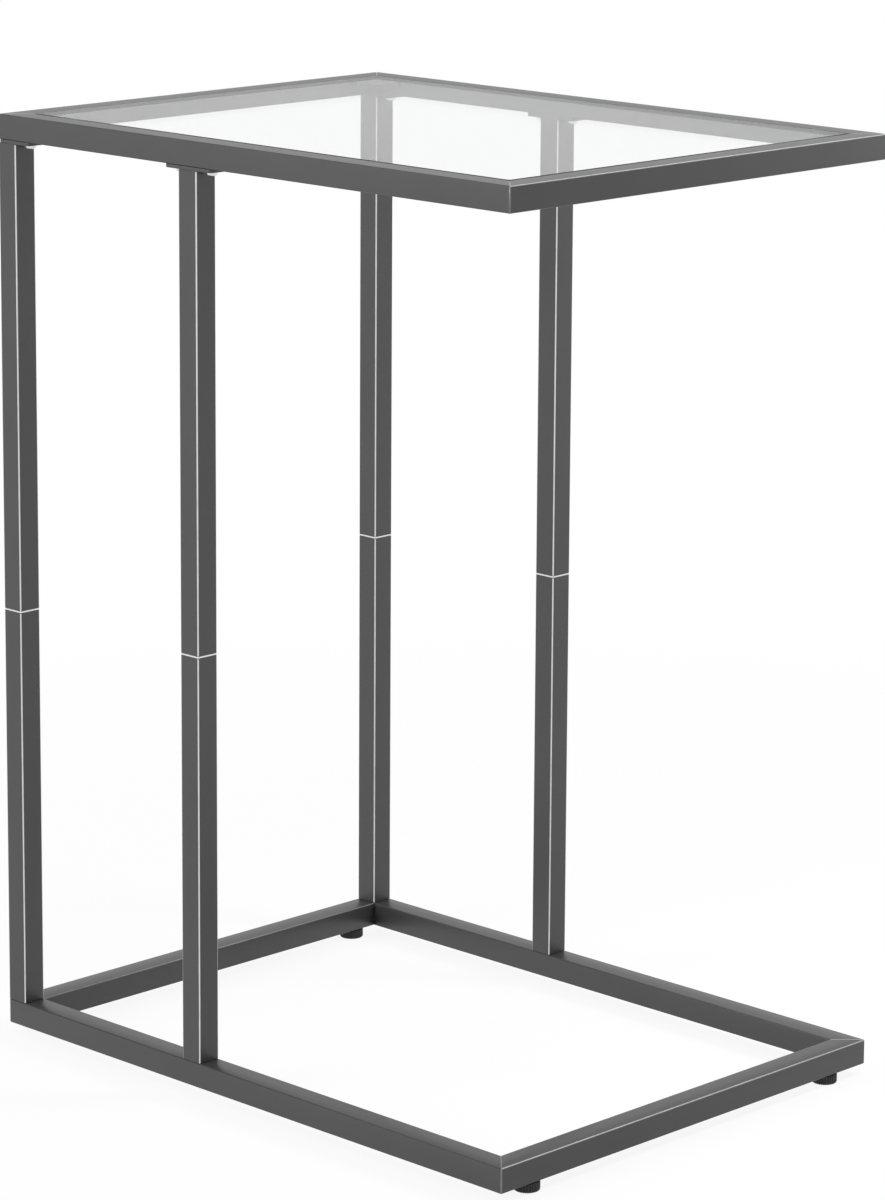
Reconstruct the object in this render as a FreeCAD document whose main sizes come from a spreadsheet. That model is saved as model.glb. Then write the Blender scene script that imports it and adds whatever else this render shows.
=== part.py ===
"""C shaped side table: two mitred square tube frames, joined at the back by four two-piece uprights.

Millimetres, +Z up. The origin is on the floor under the middle of the table. X runs from the
back, where the uprights stand, to the open end; Y runs from the near arm to the far arm.
"""
import FreeCAD, Part
import Sketcher
import os
from FreeCAD import Rotation, Vector

# Driving sizes: alias, value, what it is
SIZES = [
    ("length", 500, "outside length of both frames, along X"),
    ("depth", 376, "outside depth of both frames, along Y"),
    ("height", 678, "floor to the rim of the top frame"),
    ("tube", 18, "side of every square tube"),
    ("wall", 1.2, "wall of every square tube"),
    ("tube_round", 1.5, "outside corner radius of the tubes"),
    ("upright_pitch", 188.5, "between the axes of the two uprights of a pair"),
    ("seam_height", 319, "floor to the middle of the seam in the uprights"),
    ("glass_thick", 6, "thickness of the glass pane"),
    ("glass_gap", 1, "play round the pane inside the rim"),
    ("glass_corner", 2, "corner radius of the pane"),
    ("glass_edge", 0.6, "polished edge bevel of the pane"),
    ("bumper_thick", 1, "thickness of a clear bumper"),
    ("bumper_dia", 10, "diameter of a clear bumper"),
    ("bumper_inset", 9, "inside faces of the rails to a bumper's axis"),
    ("gusset_leg", 26, "leg of a corner gusset along each rail"),
    ("gusset_tip", 4, "blunt end of a gusset's leg"),
    ("gusset_thick", 2, "thickness of a corner gusset"),
    ("plate_thick", 2.5, "thickness of a top plate"),
    ("plate_reach", 14, "end of a top plate beyond the face of its upright"),
    ("plate_round", 3, "corner radius of a top plate"),
    ("screw_dia", 5, "thread diameter of a plate screw"),
    ("screw_reach", 6, "face of the upright to the plate screw's axis"),
    ("screw_head_dia", 8, "head diameter of a plate screw"),
    ("screw_head_high", 3, "head height of a plate screw"),
    ("screw_bite", 7, "screw length beyond the plate"),
    ("recess_long", 4.4, "length of the cross recess in a plate screw"),
    ("recess_wide", 1.2, "width of the cross recess in a plate screw"),
    ("recess_deep", 1.6, "depth of the cross recess in a plate screw"),
    ("plug_long", 18, "plug length inside a tube end"),
    ("plug_gap", 0.05, "play of a plug inside its tube, each side"),
    ("collar_thick", 1.2, "thickness of the collar at the seam"),
    ("collar_inset", 0.3, "collar edge behind the faces of the tube"),
    ("stud_dia", 8, "diameter of the stud inside the seam"),
    ("stud_long", 30, "length of the stud inside the seam"),
    ("thread_gap", 0.05, "radial play of a thread, modelled plain"),
    ("bolt_dia", 6, "thread diameter of a base bolt"),
    ("bolt_hole_gap", 0.3, "radial play of a base bolt in the base frame"),
    ("bolt_bite", 14, "base bolt length inside its plug"),
    ("access_dia", 13, "hole under the base frame that lets in a base bolt's head and washer"),
    ("bolt_head_dia", 10.5, "head diameter of a base bolt"),
    ("bolt_head_high", 3.2, "head height of a base bolt"),
    ("socket_wide", 4, "hex socket of a base bolt, across its flats"),
    ("socket_deep", 2, "depth of the hex socket of a base bolt"),
    ("washer_dia", 12, "outside diameter of a base washer"),
    ("washer_thick", 1.2, "thickness of a base washer"),
    ("foot_drop", 7.5, "floor to the underside of the base frame"),
    ("foot_inset", 34, "outside of the long rail to the axis of a foot"),
    ("foot_dia", 18, "diameter of a foot pad"),
    ("foot_round", 1.4, "rounding of a foot pad's lower edge"),
    ("foot_flutes", 30, "grip flutes round a foot pad"),
    ("flute_dia", 1.1, "diameter of a grip flute"),
    ("foot_stud_dia", 6, "thread diameter of a foot stud"),
    ("foot_stud_bite", 12.5, "foot stud above the underside of the base frame"),
    ("foot_stud_seat", 2, "floor to the lower end of the stud inside the pad"),
    ("stud_point", 0.8, "lead-in at the end of a stud"),
    ("insert_dia", 9, "barrel diameter of a foot insert"),
    ("insert_gap", 0.05, "radial play of a foot insert in the rail"),
    ("insert_long", 12, "barrel length of a foot insert"),
    ("insert_rim_dia", 13, "rim diameter of a foot insert"),
    ("insert_rim", 0.8, "rim thickness of a foot insert"),
    ("cut_over", 2, "overrun of the mitre cuts"),
]

doc = FreeCAD.newDocument("c_side_table")
sheet = doc.addObject("Spreadsheet::Sheet", "Sizes")
for row, (alias, size, note) in enumerate(SIZES, start=1):
    sheet.set(f"A{row}", str(size))
    sheet.setAlias(f"A{row}", alias)
    sheet.set(f"B{row}", note)
doc.recompute()

# Levels above the floor
BASE_TOP = "(Sizes.foot_drop + Sizes.tube)"
BASE_AXIS = "(Sizes.foot_drop + Sizes.tube / 2)"
BOLT_SEAT = f"({BASE_TOP} - Sizes.wall - Sizes.washer_thick)"
TOP_AXIS = "(Sizes.height - Sizes.tube / 2)"
PLATE_UNDER = "(Sizes.height - Sizes.tube - Sizes.plate_thick)"
SEAM_LOW = "(Sizes.seam_height - Sizes.collar_thick / 2)"
SEAM_HIGH = "(Sizes.seam_height + Sizes.collar_thick / 2)"
GLASS_UNDER = "(Sizes.height - Sizes.glass_thick)"
GUSSET_TOP = f"({GLASS_UNDER} - Sizes.bumper_thick)"
GUSSET_UNDER = f"({GUSSET_TOP} - Sizes.gusset_thick)"
PAD_TOP = "(Sizes.foot_drop - Sizes.insert_rim)"

# Places across the table, measured from its middle
RAIL_X = "(Sizes.length / 2 - Sizes.tube / 2)"
RAIL_Y = "(Sizes.depth / 2 - Sizes.tube / 2)"
INNER_X = "(Sizes.length / 2 - Sizes.tube)"
INNER_Y = "(Sizes.depth / 2 - Sizes.tube)"
FOOT_Y = "(Sizes.depth / 2 - Sizes.foot_inset)"
BUMPER_X = f"({INNER_X} - Sizes.bumper_inset)"
BUMPER_Y = f"({INNER_Y} - Sizes.bumper_inset)"
SIDES = {"near": f"(-{RAIL_Y})", "far": RAIL_Y}
ENDS = {"back": f"(-{RAIL_X})", "open": RAIL_X}
POSTS = {"corner": f"(-{RAIL_X})", "mid": f"(Sizes.upright_pitch - {RAIL_X})"}
FOOT_ROWS = {"near": f"(-{FOOT_Y})", "far": FOOT_Y}

# Half widths and hole sizes
HALF_TUBE = "(Sizes.tube / 2)"
HALF_BORE = "(Sizes.tube / 2 - Sizes.wall)"
PLATE_HALF = "(Sizes.tube / 2 + Sizes.plate_reach)"
SCREW_OFFSET = "(Sizes.tube / 2 + Sizes.screw_reach)"
SCREW_HOLE = "(Sizes.screw_dia + 2 * Sizes.thread_gap)"
BOLT_HOLE = "(Sizes.bolt_dia + 2 * Sizes.bolt_hole_gap)"
BOLT_THREAD = "(Sizes.bolt_dia + 2 * Sizes.thread_gap)"
STUD_THREAD = "(Sizes.stud_dia + 2 * Sizes.thread_gap)"
FOOT_THREAD = "(Sizes.foot_stud_dia + 2 * Sizes.thread_gap)"
INSERT_HOLE = "(Sizes.insert_dia + 2 * Sizes.insert_gap)"
HEAD_DOME_SHARE = 0.55

# Ends of a plate that reach past its upright, each with its sign along X and a screw
PLATE_ENDS = {"corner": {"open": ""}, "mid": {"open": "", "back": "-"}}
SCREW_X = [f"({x} + ({sign}{SCREW_OFFSET}))"
           for post, x in POSTS.items() for sign in PLATE_ENDS[post].values()]

finished = []


def value(expression):
    """The number that an expression has now."""
    return float(sheet.evalExpression(expression))


def near(first, second):
    """Whether two lengths are the same."""
    return abs(first - second) < 1e-6


def finish(item, label):
    """Label a finished piece, and put it on the list of those that are written."""
    item.Label = label
    finished.append(item)


def place(item, x="0", y="0", z="0", turn=Rotation()):
    """Turn a piece and bind its place to the sheet."""
    item.Placement = FreeCAD.Placement(Vector(), turn)
    for axis, expression in zip("xyz", (x, y, z)):
        item.setExpression(f"Placement.Base.{axis}", expression)


def group(name, piece, places, z):
    """Set a copy of one piece at each place, as a group of separate solids."""
    copies = []
    for index, (x, y) in enumerate(places):
        copy = doc.addObject("App::Link", f"{name}_{index}")
        copy.LinkedObject = piece
        place(copy, x, y, z)
        copies.append(copy)
    compound = doc.addObject("Part::Compound", name)
    compound.Links = copies
    finish(compound, name)


# Sketches


def new_sketch(body, role, height=None):
    """Attach a sketch to one of the body's origin planes, or at a height above it."""
    plane = next(item for item in body.Origin.OriginFeatures if item.Role == role)
    sketch = body.newObject("Sketcher::SketchObject", f"{body.Name}_sketch")
    sketch.AttachmentSupport = [(plane, "")]
    sketch.MapMode = "FlatFace"
    if height is not None:
        sketch.setExpression("AttachmentOffset.Base.z", height)
    return sketch


def bind(sketch, name, expression, kind, *where):
    """Add a dimension to a sketch and bind it to the sheet."""
    index = sketch.addConstraint(Sketcher.Constraint(kind, *where, value(expression)))
    sketch.renameConstraint(index, name)
    sketch.setExpression(f"Constraints.{name}", expression)


def outline(sketch, name, corners):
    """Close a polygon through corners, each a pair of expressions, with every corner bound."""
    points = [Vector(value(x), value(y), 0) for x, y in corners]
    first = sketch.GeometryCount
    for start, end in zip(points, points[1:] + points[:1]):
        sketch.addGeometry(Part.LineSegment(start, end), False)
    lines = list(range(first, first + len(points)))
    for line, follower in zip(lines, lines[1:] + lines[:1]):
        sketch.addConstraint(Sketcher.Constraint("Coincident", line, 2, follower, 1))
    for line, (x, y) in zip(lines, corners):
        bind(sketch, f"{name}_x{line}", x, "DistanceX", -1, 1, line, 1)
        bind(sketch, f"{name}_y{line}", y, "DistanceY", -1, 1, line, 1)


def rectangle(sketch, name, low, high):
    """Close a rectangle between two corners."""
    (x0, y0), (x1, y1) = low, high
    outline(sketch, name, [(x0, y0), (x1, y0), (x1, y1), (x0, y1)])


def square(sketch, name, half):
    """Close a square round the sketch's origin."""
    rectangle(sketch, name, (f"-{half}", f"-{half}"), (half, half))


def circle(sketch, name, diameter, x="0", y="0"):
    """Add a circle with its centre and diameter bound."""
    centre = Vector(value(x), value(y), 0)
    index = sketch.addGeometry(Part.Circle(centre, Vector(0, 0, 1), value(diameter) / 2), False)
    bind(sketch, f"{name}_x", x, "DistanceX", -1, 1, index, 3)
    bind(sketch, f"{name}_y", y, "DistanceY", -1, 1, index, 3)
    bind(sketch, f"{name}_dia", diameter, "Diameter", index)


# Features


def pad(body, sketch, length, side="One side", reverse=False):
    """Raise a sketch into a solid."""
    feature = body.newObject("PartDesign::Pad", f"{body.Name}_pad")
    feature.Profile = sketch
    feature.SideType = side
    feature.Reversed = reverse
    feature.setExpression("Length", length)
    doc.recompute()
    return feature


def pocket(body, sketch, side="One side", reverse=False, depth=None):
    """Cut a sketch right through, or to a depth, and make sure that it cut something."""
    before = body.Shape.Volume
    feature = body.newObject("PartDesign::Pocket", f"{body.Name}_pocket")
    feature.Profile = sketch
    feature.SideType = side
    feature.Reversed = reverse
    if depth is None:
        feature.Type = "ThroughAll"
    else:
        feature.setExpression("Length", depth)
    doc.recompute()
    if body.Shape.Volume >= before:
        raise RuntimeError(f"{feature.Name} cut nothing")
    return feature


def turned(name, profile):
    """Make a body by turning a half profile of radius and height pairs about its Z axis."""
    body = doc.addObject("PartDesign::Body", name)
    sketch = new_sketch(body, "XZ_Plane")
    outline(sketch, "half", profile)
    feature = body.newObject("PartDesign::Revolution", f"{name}_turn")
    feature.Profile = sketch
    feature.ReferenceAxis = (sketch, ["V_Axis"])
    doc.recompute()
    return body


def ease(body, size, chosen, kind="Fillet", measure="Radius"):
    """Round or bevel the edges of the body that a test chooses."""
    base = body.Tip
    names = [f"Edge{index}" for index, edge in enumerate(base.Shape.Edges, start=1) if chosen(edge)]
    feature = body.newObject(f"PartDesign::{kind}", f"{body.Name}_{kind.lower()}")
    feature.Base = (base, names)
    feature.setExpression(measure, size)
    doc.recompute()


def upright_edge(edge):
    """Whether an edge is a straight one along Z."""
    return isinstance(edge.Curve, Part.Line) and near(edge.BoundBox.ZLength, edge.Length)


def rim_at(level, diameter):
    """Make a test for the circle of a diameter at a level."""
    def chosen(edge):
        """Whether an edge is that circle."""
        box = edge.BoundBox
        return near(box.ZMin, level) and near(box.ZMax, level) and near(box.XLength, diameter)
    return chosen


# Square tubes


def square_tube(name, length):
    """Make a straight tube along its own X, with its middle at the origin."""
    body = doc.addObject("PartDesign::Body", name)
    section = new_sketch(body, "YZ_Plane")
    square(section, "side", HALF_TUBE)
    square(section, "bore", HALF_BORE)
    pad(body, section, length, "Symmetric")
    reach = value(HALF_TUBE)

    def outside_corner(edge):
        """Whether an edge is one of the four outside corners."""
        middle = edge.CenterOfMass
        return near(abs(middle.y), reach) and near(abs(middle.z), reach)

    ease(body, "Sizes.tube_round", outside_corner)
    return body


def mitre(body, length):
    """Cut both ends at 45 degrees, with the tube's long side at its own -Y."""
    sketch = new_sketch(body, "XY_Plane")
    outside = f"(-{HALF_TUBE} - Sizes.cut_over)"
    inside = f"({HALF_TUBE} + Sizes.cut_over)"
    for name, sign in (("left", "-"), ("right", "")):
        tip = f"{sign}({length} / 2 + Sizes.cut_over)"
        toe = f"{sign}({length} / 2 - Sizes.tube - Sizes.cut_over)"
        outline(sketch, name, [(tip, outside), (tip, inside), (toe, inside)])
    pocket(body, sketch, "Symmetric")


def drill(body, diameter, places, side):
    """Drill holes on the tube's axis: one side is its lower wall, symmetric both walls."""
    sketch = new_sketch(body, "XY_Plane")
    for index, x in enumerate(places):
        circle(sketch, f"hole{index}", diameter, x)
    pocket(body, sketch, side)


def bolt_holes(body, places):
    """Drill a base rail for bolts in its upper wall, with access holes in its lower wall."""
    drill(body, BOLT_HOLE, places, "Symmetric")
    drill(body, "Sizes.access_dia", places, "One side")


def rail(name, length, turn, x="0", y="0", z="0"):
    """Make one mitred rail, its long side outwards, and set it in its frame."""
    body = square_tube(name, length)
    mitre(body, length)
    place(body, x, y, z, turn)
    finish(body, name)
    return body


UP = Vector(0, 0, 1)
OUTWARD = {"near": Rotation(), "open": Rotation(UP, 90),
           "far": Rotation(UP, 180), "back": Rotation(UP, 270)}

for side, y in SIDES.items():
    # The far rails are turned half round, so a place along X has the other sign there
    sign = "-" if side == "far" else ""
    top = rail(f"top_rail_{side}", "Sizes.length", OUTWARD[side], y=y, z=TOP_AXIS)
    drill(top, SCREW_HOLE, [f"{sign}{x}" for x in SCREW_X], "One side")
    base = rail(f"base_rail_{side}", "Sizes.length", OUTWARD[side], y=y, z=BASE_AXIS)
    bolt_holes(base, [f"{sign}{x}" for x in POSTS.values()])

for end, x in ENDS.items():
    rail(f"top_rail_{end}", "Sizes.depth", OUTWARD[end], x=x, z=TOP_AXIS)
    base = rail(f"base_rail_{end}", "Sizes.depth", OUTWARD[end], x=x, z=BASE_AXIS)
    drill(base, INSERT_HOLE, FOOT_ROWS.values(), "One side")
    if end == "back":
        bolt_holes(base, SIDES.values())

STANDING = Rotation(Vector(0, 1, 0), -90)
TUBES = {"lower": (BASE_TOP, SEAM_LOW), "upper": (SEAM_HIGH, PLATE_UNDER)}

for side, y in SIDES.items():
    for post, x in POSTS.items():
        for part, (low, high) in TUBES.items():
            label = f"{part}_tube_{side}_{post}"
            tube = square_tube(label, f"({high} - {low})")
            place(tube, x, y, f"({low} + {high}) / 2", STANDING)
            finish(tube, label)


# Top plates, between the uprights and the long top rails


def top_plate(name, ends, x, y):
    """Make one plate along X with a hole in each end, its origin under the upright's axis."""
    body = doc.addObject("PartDesign::Body", name)
    sketch = new_sketch(body, "XY_Plane")
    back = PLATE_HALF if "back" in ends else HALF_TUBE
    rectangle(sketch, "plate", (f"-{back}", f"-{HALF_TUBE}"), (PLATE_HALF, HALF_TUBE))
    for end, sign in ends.items():
        circle(sketch, f"screw_{end}", SCREW_HOLE, f"{sign}{SCREW_OFFSET}")
    pad(body, sketch, "Sizes.plate_thick")
    ease(body, "Sizes.plate_round", upright_edge)
    place(body, x, y, PLATE_UNDER)
    finish(body, name)


for side, y in SIDES.items():
    for post, x in POSTS.items():
        top_plate(f"top_plate_{side}_{post}", PLATE_ENDS[post], x, y)


# Glass pane, its gussets and bumpers

pane = doc.addObject("PartDesign::Body", "glass_pane")
pane_sketch = new_sketch(pane, "XY_Plane")
pane_x = f"({INNER_X} - Sizes.glass_gap)"
pane_y = f"({INNER_Y} - Sizes.glass_gap)"
rectangle(pane_sketch, "pane", (f"-{pane_x}", f"-{pane_y}"), (pane_x, pane_y))
pad(pane, pane_sketch, "Sizes.glass_thick")
ease(pane, "Sizes.glass_corner", upright_edge)
ease(pane, "Sizes.glass_edge", lambda edge: near(edge.BoundBox.ZLength, 0), "Chamfer", "Size")
place(pane, z=GLASS_UNDER)
finish(pane, "glass_pane")

GUSSETS = {"near_back": ("-", "-", 0), "near_open": ("", "-", 90),
           "far_open": ("", "", 180), "far_back": ("-", "", 270)}

for corner, (sign_x, sign_y, angle) in GUSSETS.items():
    gusset = doc.addObject("PartDesign::Body", f"glass_gusset_{corner}")
    gusset_sketch = new_sketch(gusset, "XY_Plane")
    leg, tip = "Sizes.gusset_leg", "Sizes.gusset_tip"
    outline(gusset_sketch, "gusset", [("0", "0"), (leg, "0"), (leg, tip), (tip, leg), ("0", leg)])
    pad(gusset, gusset_sketch, "Sizes.gusset_thick")
    place(gusset, f"{sign_x}{INNER_X}", f"{sign_y}{INNER_Y}", GUSSET_UNDER, Rotation(UP, angle))
    finish(gusset, f"glass_gusset_{corner}")

bumper_radius = "Sizes.bumper_dia / 2"
bumper = turned("bumper", [("0", "0"), (bumper_radius, "0"), (bumper_radius, "Sizes.bumper_thick"),
                           ("0", "Sizes.bumper_thick")])
bumper_places = [(f"{sx}{BUMPER_X}", f"{sy}{BUMPER_Y}") for sx, sy, angle in GUSSETS.values()]
group("glass_bumpers", bumper, bumper_places, GUSSET_TOP)


# Screws, bolts and washers


def headed(name, diameter, length, head_diameter, head_high):
    """Make a screw along Z with a domed head below z 0 and a plain shank above."""
    shank, head = f"{diameter} / 2", f"{head_diameter} / 2"
    profile = [("0", f"-{head_high}"), (head, f"-{head_high}"), (head, "0"), (shank, "0"),
               (shank, length), ("0", length)]
    body = turned(name, profile)
    face = rim_at(-value(head_high), value(head_diameter))
    ease(body, f"{HEAD_DOME_SHARE} * {head_high}", face)
    return body


upright_places = [(x, y) for y in SIDES.values() for x in POSTS.values()]

screw = headed("plate_screw", "Sizes.screw_dia", "Sizes.plate_thick + Sizes.screw_bite",
               "Sizes.screw_head_dia", "Sizes.screw_head_high")
cross = new_sketch(screw, "XY_Plane", "-Sizes.screw_head_high")
arm, half_arm = "(Sizes.recess_long / 2)", "(Sizes.recess_wide / 2)"
cross_quarter = [(arm, half_arm), (half_arm, half_arm), (half_arm, arm)]
cross_points = []
for quarter in range(4):
    cross_points += cross_quarter
    cross_quarter = [(f"-{across}", along) for along, across in cross_quarter]
outline(cross, "cross", cross_points)
pocket(screw, cross, reverse=True, depth="Sizes.recess_deep")
group("plate_screws", screw, [(x, y) for y in SIDES.values() for x in SCREW_X], PLATE_UNDER)

bolt = headed("base_bolt", "Sizes.bolt_dia", "Sizes.washer_thick + Sizes.wall + Sizes.bolt_bite",
              "Sizes.bolt_head_dia", "Sizes.bolt_head_high")
socket = new_sketch(bolt, "XY_Plane", "-Sizes.bolt_head_high")
HEX_CORNER = "Sizes.socket_wide / sqrt(3)"
hex_points = [(f"{HEX_CORNER} * cos({angle} deg)", f"{HEX_CORNER} * sin({angle} deg)")
              for angle in range(0, 360, 60)]
outline(socket, "socket", hex_points)
pocket(bolt, socket, reverse=True, depth="Sizes.socket_deep")
group("base_bolts", bolt, upright_places, BOLT_SEAT)

washer = doc.addObject("PartDesign::Body", "base_washer")
washer_sketch = new_sketch(washer, "XY_Plane")
circle(washer_sketch, "rim", "Sizes.washer_dia")
circle(washer_sketch, "hole", BOLT_HOLE)
pad(washer, washer_sketch, "Sizes.washer_thick")
group("base_washers", washer, upright_places, BOLT_SEAT)


# Plugs and studs inside the uprights


def plug(name, thread, hanging=False):
    """Make a square plug with a threaded bore, above or below its own origin."""
    body = doc.addObject("PartDesign::Body", name)
    sketch = new_sketch(body, "XY_Plane")
    square(sketch, "plug", f"({HALF_BORE} - Sizes.plug_gap)")
    circle(sketch, "bore", thread)
    pad(body, sketch, "Sizes.plug_long", reverse=hanging)
    return body


collared = plug("lower_plug", STUD_THREAD, hanging=True)
collar_sketch = new_sketch(collared, "XY_Plane")
square(collar_sketch, "collar", f"({HALF_TUBE} - Sizes.collar_inset)")
circle(collar_sketch, "bore", STUD_THREAD)
pad(collared, collar_sketch, "Sizes.collar_thick")
group("lower_plugs", collared, upright_places, SEAM_LOW)
group("upper_plugs", plug("upper_plug", STUD_THREAD), upright_places, SEAM_HIGH)
group("base_plugs", plug("base_plug", BOLT_THREAD), upright_places, BASE_TOP)


def stud_profile(diameter, low, high):
    """The half profile of a stud with a lead-in at both ends."""
    radius, point = f"{diameter} / 2", "Sizes.stud_point"
    return [("0", low), (f"{radius} - {point}", low), (radius, f"{low} + {point}"),
            (radius, f"{high} - {point}"), (f"{radius} - {point}", high), ("0", high)]


half_stud = "Sizes.stud_long / 2"
seam_stud = turned("seam_stud", stud_profile("Sizes.stud_dia", f"-{half_stud}", half_stud))
group("seam_studs", seam_stud, upright_places, "Sizes.seam_height")


# Levelling feet and their inserts

bore, barrel, rim = f"{FOOT_THREAD} / 2", "Sizes.insert_dia / 2", "Sizes.insert_rim_dia / 2"
insert_profile = [(bore, "-Sizes.insert_rim"), (rim, "-Sizes.insert_rim"), (rim, "0"),
                  (barrel, "0"), (barrel, "Sizes.insert_long"), (bore, "Sizes.insert_long")]
insert = turned("foot_insert", insert_profile)
foot_places = {f"{row}_{end}": (x, y) for row, y in FOOT_ROWS.items() for end, x in ENDS.items()}
group("foot_inserts", insert, foot_places.values(), "Sizes.foot_drop")


def foot_pad(name):
    """Make one pad with a blind hole for its stud, a rounded lower edge and grip flutes."""
    radius = "Sizes.foot_dia / 2"
    body = turned(name, [("0", "0"), (radius, "0"), (radius, PAD_TOP), (bore, PAD_TOP),
                         (bore, "Sizes.foot_stud_seat"), ("0", "Sizes.foot_stud_seat")])
    ease(body, "Sizes.foot_round", rim_at(0, value("Sizes.foot_dia")))
    sketch = new_sketch(body, "XY_Plane")
    circle(sketch, "flute", "Sizes.flute_dia", radius)
    flute = pocket(body, sketch, reverse=True)
    ring = body.newObject("PartDesign::PolarPattern", f"{name}_flutes")
    ring.Originals = [flute]
    ring.Axis = (next(item for item in body.Origin.OriginFeatures if item.Role == "Z_Axis"), [""])
    ring.setExpression("Occurrences", "Sizes.foot_flutes")
    body.Tip = ring
    return body


for foot, (x, y) in foot_places.items():
    stud_top = "(Sizes.foot_drop + Sizes.foot_stud_bite)"
    profile = stud_profile("Sizes.foot_stud_dia", "Sizes.foot_stud_seat", stud_top)
    stud = turned(f"foot_stud_{foot}", profile)
    foot_piece = foot_pad(f"foot_pad_{foot}")
    for piece in (stud, foot_piece):
        place(piece, x, y)
        finish(piece, piece.Name)


# Test every object, then write one file for each finished piece

doc.recompute()
for item in doc.Objects:
    if {"Invalid", "Error"} & set(item.State):
        raise RuntimeError(f"{item.Label}: {item.State}")
for item in finished:
    if item.Shape.isNull() or not item.Shape.isValid():
        raise RuntimeError(f"{item.Label} has no valid shape")

os.makedirs("parts", exist_ok=True)
for item in finished:
    item.Shape.exportStep(f"parts/{item.Label}.step")
    box = item.Shape.BoundBox
    count, volume = len(item.Shape.Solids), item.Shape.Volume
    print(f"{item.Label}: {count} solid(s), {volume:.1f} mm3, z {box.ZMin:.2f} to {box.ZMax:.2f}")
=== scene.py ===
"""Looks of the C shaped side table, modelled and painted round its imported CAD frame.

Metres, +Z up. X runs from the uprights at the back to the open end, Y from the near arm to the
far arm, and the origin lies on the floor under the middle of the table, as in the CAD model.
"""
from __future__ import annotations

import logging
import math
from dataclasses import dataclass, field
from enum import Enum
from typing import Any, Callable, Iterable, Sequence

import bmesh
import bpy
from bmesh.types import BMEdge, BMesh, BMFace, BMVert
from mathutils import Matrix, Vector


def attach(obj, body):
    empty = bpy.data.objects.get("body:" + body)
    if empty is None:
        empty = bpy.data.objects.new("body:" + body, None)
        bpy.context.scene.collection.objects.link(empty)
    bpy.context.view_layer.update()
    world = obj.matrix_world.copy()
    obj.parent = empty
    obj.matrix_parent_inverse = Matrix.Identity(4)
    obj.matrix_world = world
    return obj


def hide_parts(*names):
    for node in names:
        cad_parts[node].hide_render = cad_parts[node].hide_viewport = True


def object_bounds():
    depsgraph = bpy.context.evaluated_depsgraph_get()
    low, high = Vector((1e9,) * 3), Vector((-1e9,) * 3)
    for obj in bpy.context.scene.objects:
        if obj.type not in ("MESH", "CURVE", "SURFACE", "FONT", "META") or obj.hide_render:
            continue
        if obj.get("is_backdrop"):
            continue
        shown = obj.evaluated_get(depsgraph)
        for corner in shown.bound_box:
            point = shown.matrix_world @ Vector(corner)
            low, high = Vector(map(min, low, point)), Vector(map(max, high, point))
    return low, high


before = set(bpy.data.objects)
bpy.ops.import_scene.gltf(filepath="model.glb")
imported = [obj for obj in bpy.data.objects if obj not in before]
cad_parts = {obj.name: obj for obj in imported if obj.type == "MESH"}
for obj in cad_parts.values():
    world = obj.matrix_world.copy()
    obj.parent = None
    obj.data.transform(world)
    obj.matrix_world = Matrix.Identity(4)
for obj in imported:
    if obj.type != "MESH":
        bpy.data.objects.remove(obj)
CAD_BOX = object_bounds()

logging.basicConfig(level=logging.INFO, format="%(message)s")
LOG = logging.getLogger("side_table")

MM = 0.001
# Face value: painted highlights and painted shade on the coat's edges, the ground edge on the glass.
EDGE_LIGHT_AND_GRIND = "burnish"
MERGE_DISTANCE = 0.002 * MM
TOLERANCE = 0.001 * MM
PLANE_DISTANCE = 1e-7
QUARTER_TURN = math.radians(90)
NOISE_MIDDLE = 0.5
BORE_STEPS = 24
ROUND_STEPS = 36
Pair = tuple[float, float]
Triple = tuple[float, float, float]
Colour = tuple[float, float, float, float]
MeshPart = BMVert | BMEdge | BMFace


class Slot(Enum):
    """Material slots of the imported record."""

    PAINT = "frame_paint"
    GLASS = "glass"
    BUMPER = "bumper"
    ZINC = "zinc"
    FOOT = "foot_black"


class Side(Enum):
    """The long sides of the table, each with the sign of its Y."""

    NEAR = -1
    FAR = 1


class End(Enum):
    """The short ends of the table, each with the sign of its X."""

    BACK = -1
    OPEN = 1


class Recess(Enum):
    """Driver recesses in the heads of the screws and bolts."""

    CROSS = "cross"
    HEX = "hex"


@dataclass(frozen=True)
class TableSize:
    """The driving sizes of the table and the places that follow from them."""

    length: float = 500 * MM
    depth: float = 376 * MM
    height: float = 678 * MM
    foot_gap: float = 7.5 * MM
    tube: float = 18 * MM
    plate: float = 2.5 * MM

    @property
    def axis_x(self) -> float:
        """How far the axes of the short rails lie from the middle."""
        return (self.length - self.tube) / 2

    @property
    def axis_y(self) -> float:
        """How far the axes of the long rails lie from the middle."""
        return (self.depth - self.tube) / 2

    @property
    def inner(self) -> Pair:
        """Half of the opening inside a frame of rails, along X and Y."""
        return self.length / 2 - self.tube, self.depth / 2 - self.tube

    @property
    def base_top(self) -> float:
        """Height of the upper side of the base frame."""
        return self.foot_gap + self.tube

    @property
    def plate_under(self) -> float:
        """Height of the underside of the plates below the top frame."""
        return self.height - self.tube - self.plate


TABLE = TableSize()


# Shader nodes


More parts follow.
